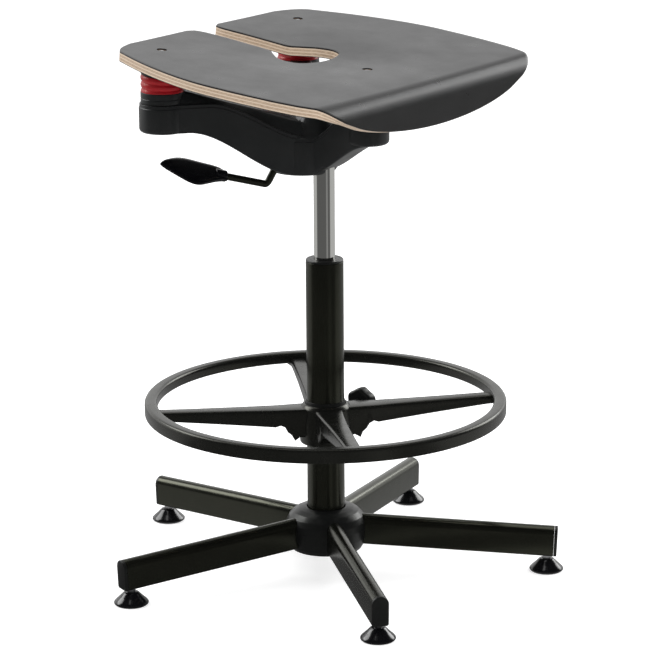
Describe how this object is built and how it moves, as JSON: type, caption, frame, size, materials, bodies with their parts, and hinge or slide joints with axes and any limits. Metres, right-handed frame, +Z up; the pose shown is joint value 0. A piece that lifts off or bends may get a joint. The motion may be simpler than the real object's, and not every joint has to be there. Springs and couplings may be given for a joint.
{
  "type": "perch stool",
  "caption": "Height-adjustable perch stool with a saddle plywood seat on sprung posts, a gas column, a clamped foot ring and tube legs on glides.",
  "frame": {"origin": "centre of the five glides' box on the floor; the column's axis is 7.8 mm to the sitter's right and 20.6 mm forward of it", "axes": "+Z up, +X to the sitter's left, -Y to the front of the seat"},
  "size_m": [0.6049, 0.5924, 0.7118],
  "materials": {
    "black_paint": "satin black powder coat",
    "black_plastic": "moulded black, fine texture",
    "gloss_plastic": "polished black",
    "ring_plastic": "satin dark grey",
    "chrome": "bright chrome",
    "steel": "plain zinc-plated steel",
    "red_rubber": "satin red",
    "seat_laminate": "satin black laminate",
    "plywood": "clear-lacquered beech plies"
  },
  "bodies": {
    "base": {"hub_cover": "black_plastic", "hub_sleeve": "steel", "leg_1": "black_paint", "leg_2": "black_paint", "leg_3": "black_paint", "leg_4": "black_paint", "leg_5": "black_paint", "leg_cap_1": "black_plastic", "leg_cap_2": "black_plastic", "leg_cap_3": "black_plastic", "leg_cap_4": "black_plastic", "leg_cap_5": "black_plastic", "column_tube": "black_paint", "column_base_plate": "steel", "guide_bush": "black_plastic", "bearing_lower_washer": "steel"},
    "bearing_cage": {"bearing_cage": "steel"},
    "rod": {"bearing_upper_washer": "steel", "piston_rod": "steel", "rod_clip": "steel", "piston": "black_plastic"},
    "lift": {"pressure_cylinder": "chrome", "rod_guide": "steel", "carrier": "black_plastic", "centre_cap": "black_plastic", "bellows_collar_left": "black_plastic", "bellows_collar_right": "black_plastic", "bellows_left": "red_rubber", "bellows_right": "red_rubber", "post_spring_left": "steel", "post_spring_right": "steel", "front_post": "black_plastic", "lever_pin": "steel"},
    "lever": {"lever_rod": "black_paint", "lever_paddle": "gloss_plastic"},
    "valve_pin": {"valve_pin": "steel"},
    "pivot_cross": {"pivot_cross": "steel"},
    "seat": {"seat_board": "plywood", "seat_laminate": "seat_laminate", "seat_screw_left": "steel", "seat_screw_right": "steel", "seat_screw_front": "steel", "post_head_left": "steel", "post_head_right": "steel", "front_bracket": "black_plastic"},
    "foot_ring": {"foot_ring": "ring_plastic", "ring_bush": "black_plastic"},
    "clamp_pad": {"pressure_pad": "black_plastic"},
    "clamp_knob": {"clamp_screw": "steel", "clamp_knob": "black_plastic"},
    "foot_1": {"foot_stem_1": "steel", "foot_glide_1": "gloss_plastic"},
    "foot_2": {"foot_stem_2": "steel", "foot_glide_2": "gloss_plastic"},
    "foot_3": {"foot_stem_3": "steel", "foot_glide_3": "gloss_plastic"},
    "foot_4": {"foot_stem_4": "steel", "foot_glide_4": "gloss_plastic"},
    "foot_5": {"foot_stem_5": "steel", "foot_glide_5": "gloss_plastic"}
  },
  "joints": [
    {"name": "seat_swivel", "type": "hinge", "parent": "base", "child": "rod", "pos_m": [-0.00783, -0.02062, 0.05], "axis": [0, 0, 1], "continuous": true},
    {"name": "cage_spin", "type": "hinge", "parent": "base", "child": "bearing_cage", "pos_m": [-0.00783, -0.02062, 0.042], "axis": [0, 0, 1], "continuous": true},
    {"name": "seat_height", "type": "slide", "parent": "rod", "child": "lift", "axis": [0, 0, 1], "range_m": [-0.115, 0.135]},
    {"name": "lever_lift", "type": "hinge", "parent": "lift", "child": "lever", "pos_m": [-0.04022, 0.01205, 0.574], "axis": [0.7101, 0.7041, 0], "range_deg": [0, 4], "stiffness_Nm_per_rad": 2},
    {"name": "valve_press", "type": "slide", "parent": "lift", "child": "valve_pin", "axis": [0, 0, 1], "range_m": [-0.004, 0]},
    {"name": "seat_roll", "type": "hinge", "parent": "lift", "child": "pivot_cross", "pos_m": [-0.00783, -0.09091, 0.64804], "axis": [0, 1, 0], "range_deg": [-3, 3], "stiffness_Nm_per_rad": 800, "deforming": ["bellows_left", "bellows_right", "post_spring_left", "post_spring_right"]},
    {"name": "seat_pitch", "type": "hinge", "parent": "pivot_cross", "child": "seat", "pos_m": [-0.00783, -0.09091, 0.64804], "axis": [1, 0, 0], "range_deg": [-3.5, 2], "stiffness_Nm_per_rad": 1900, "deforming": ["bellows_left", "bellows_right", "post_spring_left", "post_spring_right"]},
    {"name": "ring_height", "type": "slide", "parent": "base", "child": "foot_ring", "axis": [0, 0, 1], "range_m": [-0.085, 0.17]},
    {"name": "pad_travel", "type": "slide", "parent": "foot_ring", "child": "clamp_pad", "axis": [0.9981, -0.061, 0], "range_m": [0, 0.00119]},
    {"name": "knob_turn", "type": "hinge", "parent": "clamp_pad", "child": "clamp_knob", "pos_m": [-0.00783, -0.02062, 0.2096], "axis": [0.9981, -0.061, 0], "range_deg": [0, 430]},
    {"name": "glide_spin_1", "type": "hinge", "parent": "base", "child": "foot_1", "pos_m": [0.27952, 0.0461, 0.02], "axis": [0, 0, 1], "continuous": true},
    {"name": "glide_spin_2", "type": "hinge", "parent": "base", "child": "foot_2", "pos_m": [0.01752, 0.27329, 0.02], "axis": [0, 0, 1], "continuous": true},
    {"name": "glide_spin_3", "type": "hinge", "parent": "base", "child": "foot_3", "pos_m": [-0.27952, 0.09432, 0.02], "axis": [0, 0, 1], "continuous": true},
    {"name": "glide_spin_4", "type": "hinge", "parent": "base", "child": "foot_4", "pos_m": [-0.2011, -0.24349, 0.02], "axis": [0, 0, 1], "continuous": true},
    {"name": "glide_spin_5", "type": "hinge", "parent": "base", "child": "foot_5", "pos_m": [0.14441, -0.27329, 0.02], "axis": [0, 0, 1], "continuous": true}
  ],
  "couplings": [
    {"joint": "cage_spin", "follows": "seat_swivel", "ratio": 0.5},
    {"joint": "valve_press", "follows": "lever_lift", "m_per_rad": -0.055},
    {"joint": "knob_turn", "follows": "pad_travel", "rad_per_m": 5026.5}
  ]
}
